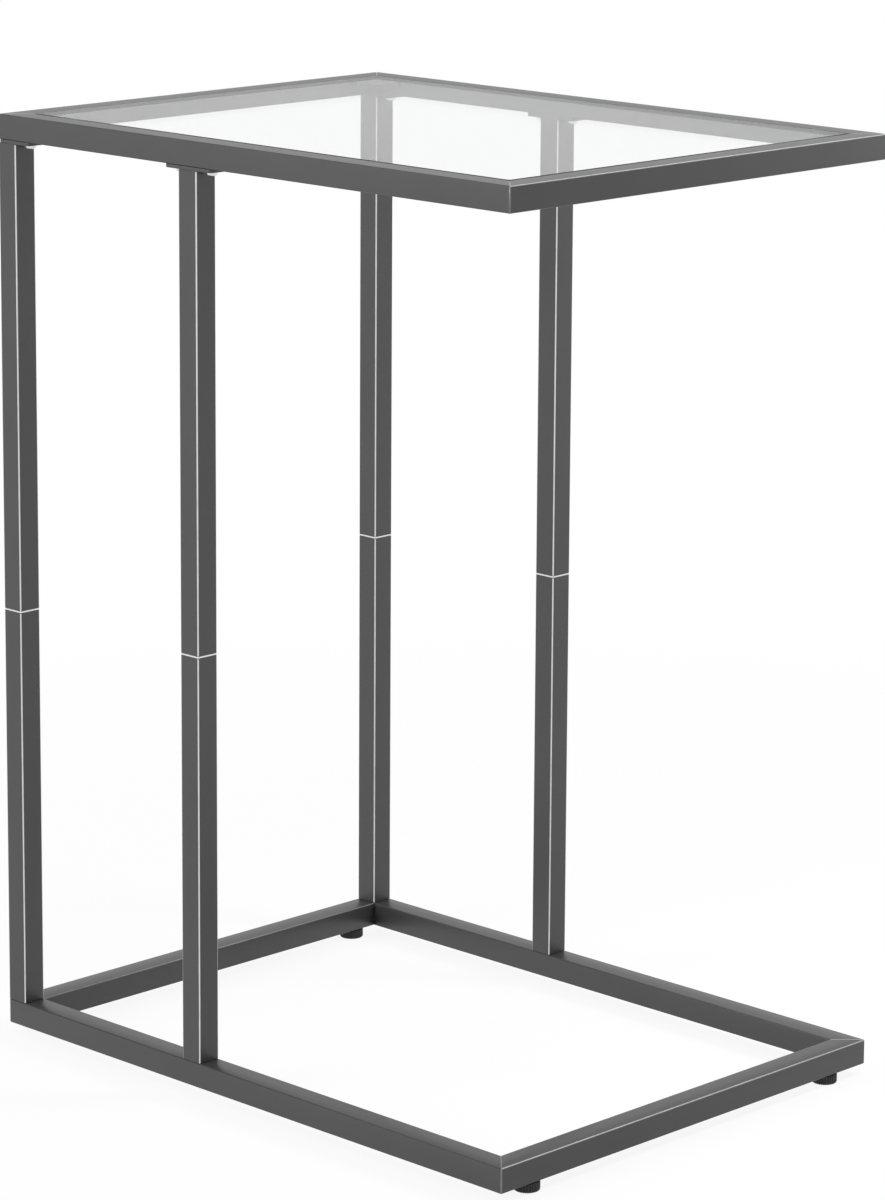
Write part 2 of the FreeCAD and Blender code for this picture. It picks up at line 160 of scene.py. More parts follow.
class Signal:
    """A number socket whose arithmetic adds Math nodes."""

    def __init__(self, bench: NodeBench, socket: bpy.types.NodeSocket) -> None:
        """Wrap one output socket of a bench's tree."""
        self.bench = bench
        self.socket = socket

    def _math(self, operation: str, first: Any, second: Any) -> Signal:
        """Add one Math node on two numbers or signals."""
        node = self.bench.node("ShaderNodeMath", {"operation": operation}, {0: first, 1: second})
        return self.bench.signal(node)

    def __add__(self, other: Any) -> Signal:
        """Sum."""
        return self._math("ADD", self, other)

    def __radd__(self, other: Any) -> Signal:
        """Sum, from the right."""
        return self._math("ADD", other, self)

    def __sub__(self, other: Any) -> Signal:
        """Difference."""
        return self._math("SUBTRACT", self, other)

    def __rsub__(self, other: Any) -> Signal:
        """Difference, from the right."""
        return self._math("SUBTRACT", other, self)

    def __mul__(self, other: Any) -> Signal:
        """Product."""
        return self._math("MULTIPLY", self, other)

    def __rmul__(self, other: Any) -> Signal:
        """Product, from the right."""
        return self._math("MULTIPLY", other, self)

    def __or__(self, other: Any) -> Signal:
        """The larger of the two."""
        return self._math("MAXIMUM", self, other)

    def clamped(self) -> Signal:
        """The value held between 0 and 1."""
        return self.bench.signal(self.bench.node("ShaderNodeClamp", {}, {"Value": self}))


class NodeBench:
    """Adds nodes to one node tree, which starts empty."""

    def __init__(self, tree: bpy.types.NodeTree) -> None:
        """Take over a tree and clear it."""
        self.tree = tree
        tree.nodes.clear()

    def node(self, kind: str, settings: dict[str, Any], inputs: dict[Any, Any]) -> bpy.types.Node:
        """Add one node.

        Args:
            kind: Blender's name of the node type.
            settings: attributes that are set first.
            inputs: values, sockets or signals, by socket name or index.

        Returns:
            The new node.
        """
        made = self.tree.nodes.new(kind)
        for name, value in settings.items():
            setattr(made, name, value)
        for name, value in inputs.items():
            socket = made.inputs[name]
            source = value.socket if isinstance(value, Signal) else value
            if isinstance(source, bpy.types.NodeSocket):
                self.tree.links.new(source, socket)
            else:
                socket.default_value = source
        return made

    def signal(self, node: bpy.types.Node, output: Any = 0) -> Signal:
        """Wrap a node's output for arithmetic."""
        return Signal(self, node.outputs[output])

    def place(self) -> bpy.types.NodeSocket:
        """The socket of Object coordinates."""
        return self.node("ShaderNodeTexCoord", {}, {}).outputs["Object"]

    def noise(self, place: Any, scale: float, detail: float = 2.0, roughness: float = 0.5) -> Signal:
        """Noise between 0 and 1 on a place, with so many grains to the metre."""
        inputs = {"Vector": place, "Scale": scale, "Detail": detail, "Roughness": roughness}
        return self.signal(self.node("ShaderNodeTexNoise", {}, inputs), "Fac")

    def stretched(self, place: Any, scale: Triple) -> bpy.types.NodeSocket:
        """The place with each axis scaled."""
        return self.node("ShaderNodeMapping", {}, {"Vector": place, "Scale": scale}).outputs["Vector"]

    def attribute(self, name: str) -> Signal:
        """A number that the mesh holds under a name, or 0."""
        return self.signal(self.node("ShaderNodeAttribute", {"attribute_name": name}, {}), "Fac")

    def measure(self, operation: str, *vectors: Any) -> Signal:
        """A number that Vector Math works out from one vector or two."""
        node = self.node("ShaderNodeVectorMath", {"operation": operation}, dict(enumerate(vectors)))
        return self.signal(node, "Value")

    def rays(self, *kinds: str) -> Signal:
        """Tell some kinds of rays from the others.

        Args:
            kinds: names of Light Path's outputs.

        Returns:
            1 for rays of these kinds and 0 for all others.
        """
        path = self.node("ShaderNodeLightPath", {}, {})
        chosen = self.signal(path, kinds[0])
        for kind in kinds[1:]:
            chosen = chosen | self.signal(path, kind)
        return chosen

    def tint(self, amount: Any, first: Any, second: Any) -> bpy.types.NodeSocket:
        """A colour between two by an amount."""
        # Inputs 6 and 7 and output 2 of a Mix node are its colours.
        inputs = {"Factor": amount, 6: first, 7: second}
        return self.node("ShaderNodeMix", {"data_type": "RGBA"}, inputs).outputs[2]

    def bump(self, height: Any, distance: float, strength: float = 1.0) -> bpy.types.NodeSocket:
        """A normal from a height between 0 and 1 that stands for so many metres."""
        inputs = {"Height": height, "Distance": distance, "Strength": strength}
        return self.node("ShaderNodeBump", {}, inputs).outputs["Normal"]

    def shader(self, kind: str, inputs: dict[Any, Any]) -> bpy.types.NodeSocket:
        """A shader of some kind, such as BsdfPrincipled."""
        return self.node(f"ShaderNode{kind}", {}, inputs).outputs[0]

    def surface(self, shader: Any) -> None:
        """Show a shader."""
        self.node("ShaderNodeOutputMaterial", {}, {"Surface": shader})


def grey(level: float) -> Colour:
    """A neutral colour of one linear level."""
    return (level, level, level, 1.0)


# Finishes


class Finish:
    """A finish that makes its material once and then hands it out."""

    name: str
    slot: Slot

    def material(self) -> bpy.types.Material:
        """Make the material of this finish, or find it.

        Returns:
            The material.
        """
        made = bpy.data.materials.get(self.name)
        if made is None:
            made = bpy.data.materials.new(self.name)
            made.use_nodes = True
            self.paint(NodeBench(made.node_tree))
        return made

    def paint(self, bench: NodeBench) -> None:
        """Lay the nodes of this finish."""
        raise NotImplementedError


@dataclass(frozen=True)
class PowderCoat(Finish):
    """Satin gunmetal powder coat on steel, with its fine peel and faint clouds, and painted highlights and
    painted shade on chosen edges.
    """

    name: str = "satin_gunmetal_coat"
    slot: Slot = Slot.PAINT
    dark: Colour = grey(0.075)
    light: Colour = grey(0.092)
    painted_shade_colour: Colour = grey(0.02)
    # The next two colours are the shade painted on dark edges and the pale metal painted on bright edges as
    # a highlight.
    painted_highlight_colour: Colour = grey(0.8)
    flake: float = 0.62
    glancing: Colour = grey(0.95)
    clear_level: float = 0.25
    gloss: float = 0.38
    gloss_spread: float = 0.08
    # Roughness of the painted edge highlights.
    painted_highlight_gloss: float = 0.30
    grain: float = 1500.0
    grain_share: float = 0.45
    grain_gloss: float = 0.06
    cloud: float = 14.0
    cloud_share: float = 0.75
    tone_cut: float = 0.1
    # Noise that breaks up the painted edge highlights and painted shade.
    edge_light_grain: float = 90.0
    edge_light_least: float = 0.75
    edge_light_spread: float = 0.5
    peel: float = 900.0
    peel_height: float = 0.03 * MM
    peel_strength: float = 0.35

    def paint(self, bench: NodeBench) -> None:
        """Lay the coat's speckle, clouds, gloss and peel, and the highlights and shade painted on its
        edges.

        Args:
            bench: where the nodes go.
        """
        place = bench.place()
        speckle = bench.noise(place, self.grain, detail=1.0)
        clouds = bench.noise(place, self.cloud, detail=3.0)
        peel = bench.noise(place, self.peel)
        edge_light_grain = bench.noise(place, self.edge_light_grain, detail=3.0)
        # The edge value is painted light: a highlight where above 0, shade where below 0.
        edge = bench.attribute(EDGE_LIGHT_AND_GRIND) * (self.edge_light_least + edge_light_grain * self.edge_light_spread)
        bright, sunk = edge.clamped(), (edge * -1.0).clamped()
        tone = (speckle * self.grain_share + clouds * self.cloud_share - self.tone_cut).clamped()
        spread = (clouds - NOISE_MIDDLE) * self.gloss_spread
        gloss = self.gloss + spread + (speckle - NOISE_MIDDLE) * self.grain_gloss
        # Painted shade darkens the coat towards near black; painted highlights lighten it towards pale
        # metal.
        coat = bench.tint(sunk, bench.tint(tone, self.dark, self.light), self.painted_shade_colour)
        bench.surface(bench.shader("BsdfPrincipled", {
            "Base Color": bench.tint(bright, coat, self.painted_highlight_colour),
            "Roughness": gloss + bright * (self.painted_highlight_gloss - self.gloss),
            "Metallic": (self.flake + edge).clamped(),
            "Specular IOR Level": self.clear_level,
            "Specular Tint": self.glancing,
            "Normal": bench.bump(peel, self.peel_height, self.peel_strength),
        }))


@dataclass(frozen=True)
class ClearGlass(Finish):
    """Clear tempered float glass with a faint green cast and a ground edge, clear to lamps."""

    name: str = "clear_float_glass"
    slot: Slot = Slot.GLASS
    colour: Colour = (0.925, 0.937, 0.931, 1.0)
    edge_colour: Colour = (0.66, 0.78, 0.72, 1.0)
    edge_gloss: float = 0.5
    index: float = 1.09
    smear: float = 9.0
    smear_gloss: float = 0.02

    def paint(self, bench: NodeBench) -> None:
        """Lay the glass, with a light film of smears in its gloss and a matt, greener edge.

        Args:
            bench: where the nodes go.
        """
        film = bench.noise(bench.place(), self.smear, detail=4.0, roughness=0.6)
        edge = bench.attribute(EDGE_LIGHT_AND_GRIND)
        glass = bench.shader("BsdfPrincipled", {
            "Base Color": bench.tint(edge, self.colour, self.edge_colour),
            "Roughness": film * self.smear_gloss + edge * self.edge_gloss,
            "IOR": self.index,
            "Transmission Weight": 1.0,
        })
        clear = bench.shader("BsdfTransparent", {"Color": self.colour})
        through = bench.rays("Is Shadow Ray", "Is Diffuse Ray")
        bench.surface(bench.shader("MixShader", {0: through, 1: glass, 2: clear}))


@dataclass(frozen=True)
class SoftClear(Finish):
    """Clear soft plastic of the pads under the pane."""

    name: str = "soft_clear_pad"
    slot: Slot = Slot.BUMPER
    dark: Colour = (0.62, 0.65, 0.65, 1.0)
    light: Colour = (0.80, 0.83, 0.83, 1.0)
    gloss: float = 0.35
    gloss_spread: float = 0.25
    index: float = 1.4
    clearness: float = 0.9
    grain: float = 700.0
    grain_height: float = 0.03 * MM

    def paint(self, bench: NodeBench) -> None:
        """Lay the milky body and its matt skin.

        Args:
            bench: where the nodes go.
        """
        cloud = bench.noise(bench.place(), self.grain)
        bench.surface(bench.shader("BsdfPrincipled", {
            "Base Color": bench.tint(cloud, self.dark, self.light),
            "Roughness": self.gloss + cloud * self.gloss_spread,
            "IOR": self.index,
            "Transmission Weight": self.clearness,
            "Normal": bench.bump(cloud, self.grain_height),
        }))


@dataclass(frozen=True)
class BrightZinc(Finish):
    """Bright zinc plate with fine turning marks and a few dull spots."""

    name: str = "bright_zinc_plate"
    slot: Slot = Slot.ZINC
    dark: Colour = (0.62, 0.63, 0.65, 1.0)
    light: Colour = (0.83, 0.84, 0.85, 1.0)
    gloss: float = 0.20
    gloss_spread: float = 0.16
    mark: float = 5200.0
    mark_stretch: Triple = (0.2, 0.2, 1.0)
    mark_share: float = 0.2
    mark_height: float = 0.01 * MM
    mark_strength: float = 0.5
    spot: float = 420.0
    spot_share: float = 0.8

    def paint(self, bench: NodeBench) -> None:
        """Lay the plate's marks and spots.

        Args:
            bench: where the nodes go.
        """
        place = bench.place()
        marks = bench.noise(bench.stretched(place, self.mark_stretch), self.mark, detail=1.0)
        spots = bench.noise(place, self.spot, detail=3.0)
        tone = (spots * self.spot_share + marks * self.mark_share).clamped()
        bench.surface(bench.shader("BsdfPrincipled", {
            "Base Color": bench.tint(tone, self.dark, self.light),
            "Roughness": self.gloss + spots * self.gloss_spread,
            "Metallic": 1.0,
            "Normal": bench.bump(marks, self.mark_height, self.mark_strength),
        }))


@dataclass(frozen=True)
class MouldedBlack(Finish):
    """Matt black moulded plastic with a spark texture."""

    name: str = "matt_black_moulding"
    slot: Slot = Slot.FOOT
    dark: Colour = (0.016, 0.016, 0.017, 1.0)
    light: Colour = (0.034, 0.034, 0.035, 1.0)
    gloss: float = 0.48
    gloss_spread: float = 0.2
    grain: float = 2600.0
    grain_share: float = 0.4
    grain_height: float = 0.04 * MM
    grain_strength: float = 0.6
    scuff: float = 260.0
    scuff_share: float = 0.7
    tone_cut: float = 0.05

    def paint(self, bench: NodeBench) -> None:
        """Lay the moulding's grain and a few dusty scuffs.

        Args:
            bench: where the nodes go.
        """
        place = bench.place()
        grain = bench.noise(place, self.grain)
        scuffs = bench.noise(place, self.scuff, detail=4.0, roughness=0.65)
        tone = (grain * self.grain_share + scuffs * self.scuff_share - self.tone_cut).clamped()
        bench.surface(bench.shader("BsdfPrincipled", {
            "Base Color": bench.tint(tone, self.dark, self.light),
            "Roughness": self.gloss + scuffs * self.gloss_spread,
            "Normal": bench.bump(grain, self.grain_height, self.grain_strength),
        }))


COAT = PowderCoat()
GLASS = ClearGlass()
PADS = SoftClear()
ZINC = BrightZinc()
BLACK = MouldedBlack()


# Modelling


def put_in_scene(name: str, data: bpy.types.ID) -> bpy.types.Object:
    """Make an object of a mesh, lamp or camera and link it to the scene.

    Args:
        name: the object's name.
        data: what it shows.

    Returns:
        The object.
    """
    made = bpy.data.objects.new(name, data)
    bpy.context.scene.collection.objects.link(made)
    return made


class Shape:
    """One mesh in the making, with the modelling steps that several pieces share."""

    SHARP = math.radians(35)

    def __init__(self) -> None:
        """Start with an empty mesh."""
        self.bm: BMesh = bmesh.new()

    # Parts of the mesh

    def everything(self) -> list[MeshPart]:
        """All points, edges and faces."""
        return [*self.bm.verts, *self.bm.edges, *self.bm.faces]

    @staticmethod
    def points(parts: Iterable[MeshPart]) -> list[BMVert]:
        """The points among some parts of the mesh."""
        return [part for part in parts if isinstance(part, BMVert)]

    @classmethod
    def is_sharp(cls, edge: BMEdge) -> bool:
        """Whether the faces beside an edge meet at a sharp angle."""
        return edge.calc_face_angle(0.0) > cls.SHARP

    @staticmethod
    def is_level(edge: BMEdge) -> bool:
        """Whether both ends of an edge have the same height."""
        return abs(edge.verts[0].co.z - edge.verts[1].co.z) < TOLERANCE

    def open_up(self, face: BMFace) -> list[BMEdge]:
        """Take a face out of its outline.

        Args:
            face: the face.

        Returns:
            The edges that stay.
        """
        outline = list(face.edges)
        bmesh.ops.delete(self.bm, geom=[face], context="FACES_ONLY")
        return outline

    # Flat outlines

    def polygon(self, corners: Sequence[Pair], rounding: float = 0.0, segments: int = 4) -> BMFace:
        """A flat face at z 0 through corners, which may be rounded.

        Args:
            corners: the outline, anticlockwise.
            rounding: radius at each corner, or 0 for sharp ones.
            segments: steps in each rounded corner.

        Returns:
            The face.
        """
        before = set(self.bm.faces)
        verts = [self.bm.verts.new((x, y, 0.0)) for x, y in corners]
        self.bm.faces.new(verts)
        if rounding > 0:
            bmesh.ops.bevel(self.bm, geom=verts, offset=rounding, offset_type="OFFSET",
                            segments=segments, profile=0.5, affect="VERTICES", material=-1,
                            clamp_overlap=True)
        return next(face for face in self.bm.faces if face not in before)

    def rectangle(self, low: Pair, high: Pair, rounding: float = 0.0, segments: int = 4) -> BMFace:
        """A flat rectangle at z 0 between two corners, which may be rounded."""
        (x0, y0), (x1, y1) = low, high
        return self.polygon([(x0, y0), (x1, y0), (x1, y1), (x0, y1)], rounding, segments)

    def square(self, half: float, rounding: float = 0.0, segments: int = 4) -> BMFace:
        """A flat square round the origin, which may be rounded."""
        return self.rectangle((-half, -half), (half, half), rounding, segments)

    def circle(self, radius: float, segments: int, at: Triple = (0.0, 0.0, 0.0)) -> list[BMEdge]:
        """The edges of a level circle."""
        made = bmesh.ops.create_circle(self.bm, cap_ends=False, segments=segments, radius=radius,
                                       matrix=Matrix.Translation(at))
        return list(dict.fromkeys(edge for vert in made["verts"] for edge in vert.link_edges))

    def pierce(self, face: BMFace, hole: Iterable[BMEdge]) -> list[BMFace]:
        """Replace a flat face by the faces between its outline and a hole in its plane."""
        outline = self.open_up(face)
        return bmesh.ops.bridge_loops(self.bm, edges=[*outline, *hole])["faces"]

    def mirror_half(self) -> list[BMFace]:
        """Keep the +X half of a flat shape and mirror it to the other side.

        Returns:
            All faces of the shape.
        """
        bmesh.ops.bisect_plane(self.bm, geom=self.everything(), dist=PLANE_DISTANCE,
                               plane_co=(0, 0, 0), plane_no=(1, 0, 0), clear_inner=True)
        bmesh.ops.mirror(self.bm, geom=self.everything(), matrix=Matrix.Identity(4),
                         merge_dist=MERGE_DISTANCE, axis="X")
        return list(self.bm.faces)

    # Solids

    def lift(self, verts: Iterable[BMVert], height: float) -> None:
        """Raise some points."""
        bmesh.ops.translate(self.bm, vec=(0.0, 0.0, height), verts=list(verts))

    def raise_by(self, faces: Sequence[BMFace], height: float) -> None:
        """Extrude flat faces along Z into a closed solid.

        Args:
            faces: the faces.
            height: how far they rise.
        """
        made = bmesh.ops.extrude_face_region(self.bm, geom=list(faces), use_keep_orig=True)
        self.lift(self.points(made["geom"]), height)
        self.tidy()

    def wire(self, profile: Sequence[Pair]) -> list[MeshPart]:
        """Points at pairs of radius and height over the X axis, and the edges between them."""
        verts = [self.bm.verts.new((radius, 0.0, height)) for radius, height in profile]
        return verts + [self.bm.edges.new(pair) for pair in zip(verts, verts[1:])]

    def turn(self, profile: Sequence[Pair], steps: int) -> None:
        """Spin a profile of radius and height pairs once round the Z axis."""
        bmesh.ops.spin(self.bm, geom=self.wire(profile), cent=(0, 0, 0), axis=(0, 0, 1),
                       dvec=(0, 0, 0), angle=math.tau, steps=steps, use_merge=True)
        self.tidy()

    def tidy(self) -> None:
        """Merge doubles and turn all faces outwards."""
        bmesh.ops.remove_doubles(self.bm, verts=list(self.bm.verts), dist=MERGE_DISTANCE)
        bmesh.ops.recalc_face_normals(self.bm, faces=list(self.bm.faces))

    def ease(self, chosen: Callable[[BMEdge], bool], size: float, segments: int = 1) -> None:
        """Bevel the edges that a test chooses."""
        edges = [edge for edge in self.bm.edges if chosen(edge)]
        bmesh.ops.bevel(self.bm, geom=edges, offset=size, offset_type="OFFSET", segments=segments,
                        profile=0.5, affect="EDGES", material=-1, clamp_overlap=True)

    def cut(self, point: Vector, normal: Vector, hollow: bool = False) -> None:
        """Cut away what lies beyond a plane and close the cut.

        Args:
            point: a point of the plane.
            normal: the way out of the plane.
            hollow: whether the cut is a ring, such as a tube's wall.
        """
        made = bmesh.ops.bisect_plane(self.bm, geom=self.everything(), dist=PLANE_DISTANCE,
                                      plane_co=point, plane_no=normal, clear_outer=True)
        edges = [part for part in made["geom_cut"] if isinstance(part, BMEdge)]
        if hollow:
            bmesh.ops.bridge_loops(self.bm, edges=edges)
        else:
            bmesh.ops.holes_fill(self.bm, edges=edges, sides=0)

    def level_panel(self, height: float, start: float, end: float) -> BMFace:
        """Part a level strip of the mesh at two places along X.

        Args:
            height: where the strip lies.
            start: the first place.
            end: the second place.

        Returns:
            The face between the two places.
        """
        def chosen(face: BMFace) -> bool:
            """Whether a face lies at this height and over the middle of the two places."""
            along = [vert.co.x for vert in face.verts if abs(vert.co.z - height) < TOLERANCE]
            return len(along) == len(face.verts) and min(along) < (start + end) / 2 < max(along)

        for place in (start, end):
            strip = next(face for face in self.bm.faces if chosen(face))
            bmesh.ops.bisect_plane(self.bm, geom=[strip, *strip.edges, *strip.verts],
                                   dist=PLANE_DISTANCE, plane_co=(place, 0, 0), plane_no=(1, 0, 0))
        return next(face for face in self.bm.faces if chosen(face))

    # Finishing

    def burnish(self, amount: Callable[[Vector, Vector], float]) -> None:
        """Set each face's edge value: on the coat the light painted there, a highlight above 0 and shade
        below 0; on the glass its ground edge.

        Args:
            amount: gives the value from a face's normal and its middle.
        """
        layer = self.bm.faces.layers.float.new(EDGE_LIGHT_AND_GRIND)
        for face in self.bm.faces:
            face[layer] = amount(face.normal, face.calc_center_median())

    def move(self, matrix: Matrix) -> None:
        """Transform the whole mesh."""
        bmesh.ops.transform(self.bm, matrix=matrix, verts=list(self.bm.verts))

    def shift(self, x: float, y: float, z: float) -> None:
        """Move the whole mesh along the axes."""
        self.move(Matrix.Translation((x, y, z)))

    def repeat(self, places: Sequence[Triple]) -> None:
        """Set a copy of the mesh at each place instead of at the origin.

        Args:
            places: where the copies go.
        """
        model = self.everything()
        for place in places[1:]:
            copy = bmesh.ops.duplicate(self.bm, geom=model)["geom"]
            bmesh.ops.translate(self.bm, vec=place, verts=self.points(copy))
        bmesh.ops.translate(self.bm, vec=places[0], verts=self.points(model))

    def settle(self, name: str, finish: Finish, body: str, *nodes: str, even: bool = True) -> None:
        """Make the finished piece and let it stand for its CAD nodes.

        Args:
            name: the piece's name.
            finish: what it is dressed in.
            body: the CAD body that it rides on.
            nodes: the CAD nodes that it stands for.
            even: whether flat faces shade evenly, or roll gently towards their rounded edges.
        """
        for face in self.bm.faces:
            face.smooth = True
        for edge in self.bm.edges:
            edge.smooth = edge.is_manifold and edge.calc_face_angle(0.0) < self.SHARP
        mesh = bpy.data.meshes.new(name)
        self.bm.to_mesh(mesh)
        self.bm.free()
        mesh.materials.append(finish.material())
        piece = put_in_scene(name, mesh)
        if even:
            shading = piece.modifiers.new("even_shading", "WEIGHTED_NORMAL")
            shading.keep_sharp = True
            shading.weight = 100
        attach(piece, body)
        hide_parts(*nodes)
        LOG.info("piece %s: %d faces on %s", name, len(mesh.polygons), body)


# Tubes


@dataclass
class TubeStock:
    """The square tube that the whole frame is made of.

    Within peak_lean degrees of the middle of a rounded edge lies the peak of the light painted on it, a
    highlight above 0 and shade below 0, and within flank_lean degrees its flanks.
    """

    side: float = TABLE.tube
    wall: float = 1.2 * MM
    rounding: float = 0.8 * MM
    steps: int = 3
    bore_rounding: float = 0.4 * MM
    crown: float = 0.05 * MM
    crown_cuts: int = 5
    peak_lean: float = 24.0
    flank_lean: float = 42.0

    @property
    def half(self) -> float:
        """Half of the outside width."""
        return self.side / 2

    @property
    def skin(self) -> float:
        """How far from the axis the middle of the wall lies."""
        return self.half - self.wall / 2

    def upright(self, low: float, high: float, plain_side: bool = False) -> Shape:
        """A tube along Z between two heights.

        Args:
            low: height of the lower end.
            high: height of the upper end.
            plain_side: whether the +X side stays flat, for holes.

        Returns:
            The tube, round the Z axis.
        """
        shape = Shape()
        section = self._crowned(shape, plain_side)
        bore = shape.open_up(shape.square(self.half - self.wall, self.bore_rounding, self.steps))
        shape.raise_by(shape.pierce(section, bore), high - low)
        shape.shift(0.0, 0.0, low)
        return shape

    def _crowned(self, shape: Shape, plain_side: bool) -> BMFace:
        """Draw the outside of the tube, its sides a little crowned.

        Args:
            shape: where the outline goes.
            plain_side: whether the +X side stays flat.

        Returns:
            The outline as a flat face.
        """
        low = self.half - self.crown
        section = shape.square(low, self.rounding, self.steps)
        sides = [edge for edge in section.edges if edge.calc_length() > low
                 and not (plain_side and min(vert.co.x for vert in edge.verts) > 0)]
        bmesh.ops.subdivide_edges(shape.bm, edges=sides, cuts=self.crown_cuts)
        flat = low - self.rounding
        for vert in section.verts:
            x, y = vert.co.x / flat, vert.co.y / flat
            along = min(abs(x), abs(y))
            if along < 1:
                outward = (math.copysign(1, x), 0, 0) if abs(x) > 1 else (0, math.copysign(1, y), 0)
                vert.co += Vector(outward) * self.crown * (1 - along ** 2)
        return section

    def edge_burnish(self, first: float, second: float, peak: float, flank: float) -> float:
        """Painted light on a strip of a rounded edge, from the two parts of its normal.

        Args:
            first: the normal along one face beside the edge.
            second: the normal along the other.
            peak: painted light in the middle of the edge.
            flank: painted light towards the faces.

        Returns:
            The painted light, which is 0 on the faces.
        """
        lean = abs(math.degrees(math.atan2(abs(first), abs(second))) - 45)
        if lean < self.peak_lean:
            return peak
        return flank if lean < self.flank_lean else 0.0


@dataclass
class RailFrame:
    """One mitred rectangle of four rails.

    One number for each of the near, open, far and back rail gives the light painted on its upper edges, a
    highlight above 0 and shade below 0. The leans are parts of a face's normal.
    """

    level: str
    axis_height: float
    bolts: tuple[Pair, ...] = ()
    access_radius: float = 6.5 * MM
    access_panel: float = 8 * MM
    stock: TubeStock = field(default_factory=lambda: TubeStock(crown_cuts=1))
    corner_rounding: float = 1.3 * MM
    corner_steps: int = 3
    mitre_groove: float = 0.35 * MM
    mitre_slack: float = 0.01 * MM
    # Painted highlights on the outer corner, its flanks and the mitre grooves; then the painted light of
    # the upper edges.
    corner_highlight: float = 0.15
    mitre_highlight: float = 0.5
    side_highlight: float = 0.05
    upper_edge_light: tuple[float, ...] = (-0.6, 0.42, 0.08, 0.15)
    flank_share: float = 0.4
    least_lean: float = 0.1
    groove_lean: float = 0.3
    corner_lean: float = 0.4
    even: bool = True

    def rail(self, length: float, holes: Sequence[float]) -> Shape:
        """A mitred rail along X with its long side at -Y.

        Args:
            length: outside length of the rail.
            holes: places of the holes in its underside.

        Returns:
            The rail, round the X axis.
        """
        half = self.stock.half
        shape = self.stock.upright(-length / 2 - half, length / 2 + half, bool(holes))
        shape.move(Matrix.Rotation(QUARTER_TURN, 4, "Y"))
        for hole in holes:
            self._bore(shape, hole)
        for sign in (-1, 1):
            end = sign * (length / 2 - half)
            split = any(abs(end - hole) < self.access_radius for hole in holes)
            shape.cut(Vector((end, 0.0, 0.0)), Vector((sign, 1.0, 0.0)), hollow=not split)
        shape.tidy()
        shape.ease(self._at_mitre(length), self.mitre_groove)
        shape.tidy()
        for sign in (-1, 1):
            self._round_corner(shape, sign, length)
        shape.tidy()
        return shape

    def _bore(self, shape: Shape, place: float) -> None:
        """Open a round hole in the lower wall of a rail.

        Args:
            shape: the rail.
            place: where the hole lies along it.
        """
        rims: list[BMEdge] = []
        for height in (self.stock.crown - self.stock.half, self.stock.wall - self.stock.half):
            panel = shape.level_panel(height, place - self.access_panel, place + self.access_panel)
            outline = shape.open_up(panel)
            rim = shape.circle(self.access_radius, ROUND_STEPS, (place, 0.0, height))
            bmesh.ops.triangle_fill(shape.bm, use_beauty=True, edges=outline + rim)
            rims += rim
        bmesh.ops.bridge_loops(shape.bm, edges=rims)

    def _at_mitre(self, length: float) -> Callable[[BMEdge], bool]:
        """Make a test for the outside edges of the mitred ends.

        Args:
            length: outside length of the rail.

        Returns:
            The test.
        """
        reach = length / 2 - self.stock.half

        def chosen(edge: BMEdge) -> bool:
            """Test an edge.

            Args:
                edge: the edge.

            Returns:
                Whether it lies in a mitre and on the outside of the tube.
            """
            ends = [vert.co for vert in edge.verts]
            middle = (ends[0] + ends[1]) / 2
            in_mitre = all(abs(abs(end.x) - (reach - end.y)) < self.mitre_slack for end in ends)
            return in_mitre and max(abs(middle.y), middle.z) > self.stock.skin and Shape.is_sharp(edge)

        return chosen

    def _round_corner(self, shape: Shape, sign: int, length: float) -> None:
        """Grind this rail's half of a rounded outside corner.

        Args:
            shape: the rail.
            sign: which end of it.
            length: outside length of the rail.
        """
        radius = self.corner_rounding
        centre = Vector((sign * (length / 2 - radius), radius - self.stock.half, 0.0))
        for step in range(1, self.corner_steps + 1):
            angle = math.radians(45) * step / self.corner_steps
            normal = Vector((sign * math.sin(angle), -math.cos(angle), 0.0))
            shape.cut(centre + normal * radius, normal)

    def _painted_light(self, peak: float) -> Callable[[Vector, Vector], float]:
        """Make the light painted on a rail's corners, mitres and upper edges.

        Args:
            peak: painted light in the middle of the upper edges, a highlight above 0 and shade below 0.

        Returns:
            The painted light of a face, from its normal and its middle.
        """
        def amount(normal: Vector, middle: Vector) -> float:
            """How much light is painted on a face.

            Args:
                normal: the face's normal.
                middle: the face's middle.

            Returns:
                The painted light.
            """
            across, upright = abs(normal.x), abs(normal.z) < self.least_lean
            if across > self.least_lean and normal.y < -self.least_lean and upright:
                return self.corner_highlight if across > self.corner_lean else self.side_highlight
            if across > self.groove_lean and normal.z > self.groove_lean:
                return self.mitre_highlight
            if middle.yz.length < self.stock.half or normal.z <= 0 or across >= self.least_lean:
                return 0.0
            return self.stock.edge_burnish(normal.y, normal.z, peak, self.flank_share * peak)

        return amount

    def build(self) -> None:
        """Set the four rails and dress them."""
        half = self.stock.half
        runs = {
            "near": (TABLE.length, 0, (0.0, -TABLE.axis_y)),
            "open": (TABLE.depth, 90, (TABLE.axis_x, 0.0)),
            "far": (TABLE.length, 180, (0.0, TABLE.axis_y)),
            "back": (TABLE.depth, 270, (-TABLE.axis_x, 0.0)),
        }
        for (place, (length, angle, (x, y))), peak in zip(runs.items(), self.upper_edge_light):
            turn = Matrix.Rotation(math.radians(angle), 4, "Z")
            seat = Matrix.Translation((x, y, self.axis_height)) @ turn
            bolts = [seat.inverted() @ Vector((*bolt, self.axis_height)) for bolt in self.bolts]
            shape = self.rail(length, [bolt.x for bolt in bolts if abs(bolt.y) < half])
            # Paint highlights and shade onto the rail's corners, mitres and upper edges.
            shape.burnish(self._painted_light(peak))
            shape.move(seat)
            shape.settle(f"{self.level}_frame_{place}_rail", COAT, "table",
                         f"{self.level}_rail_{place}", even=self.even)


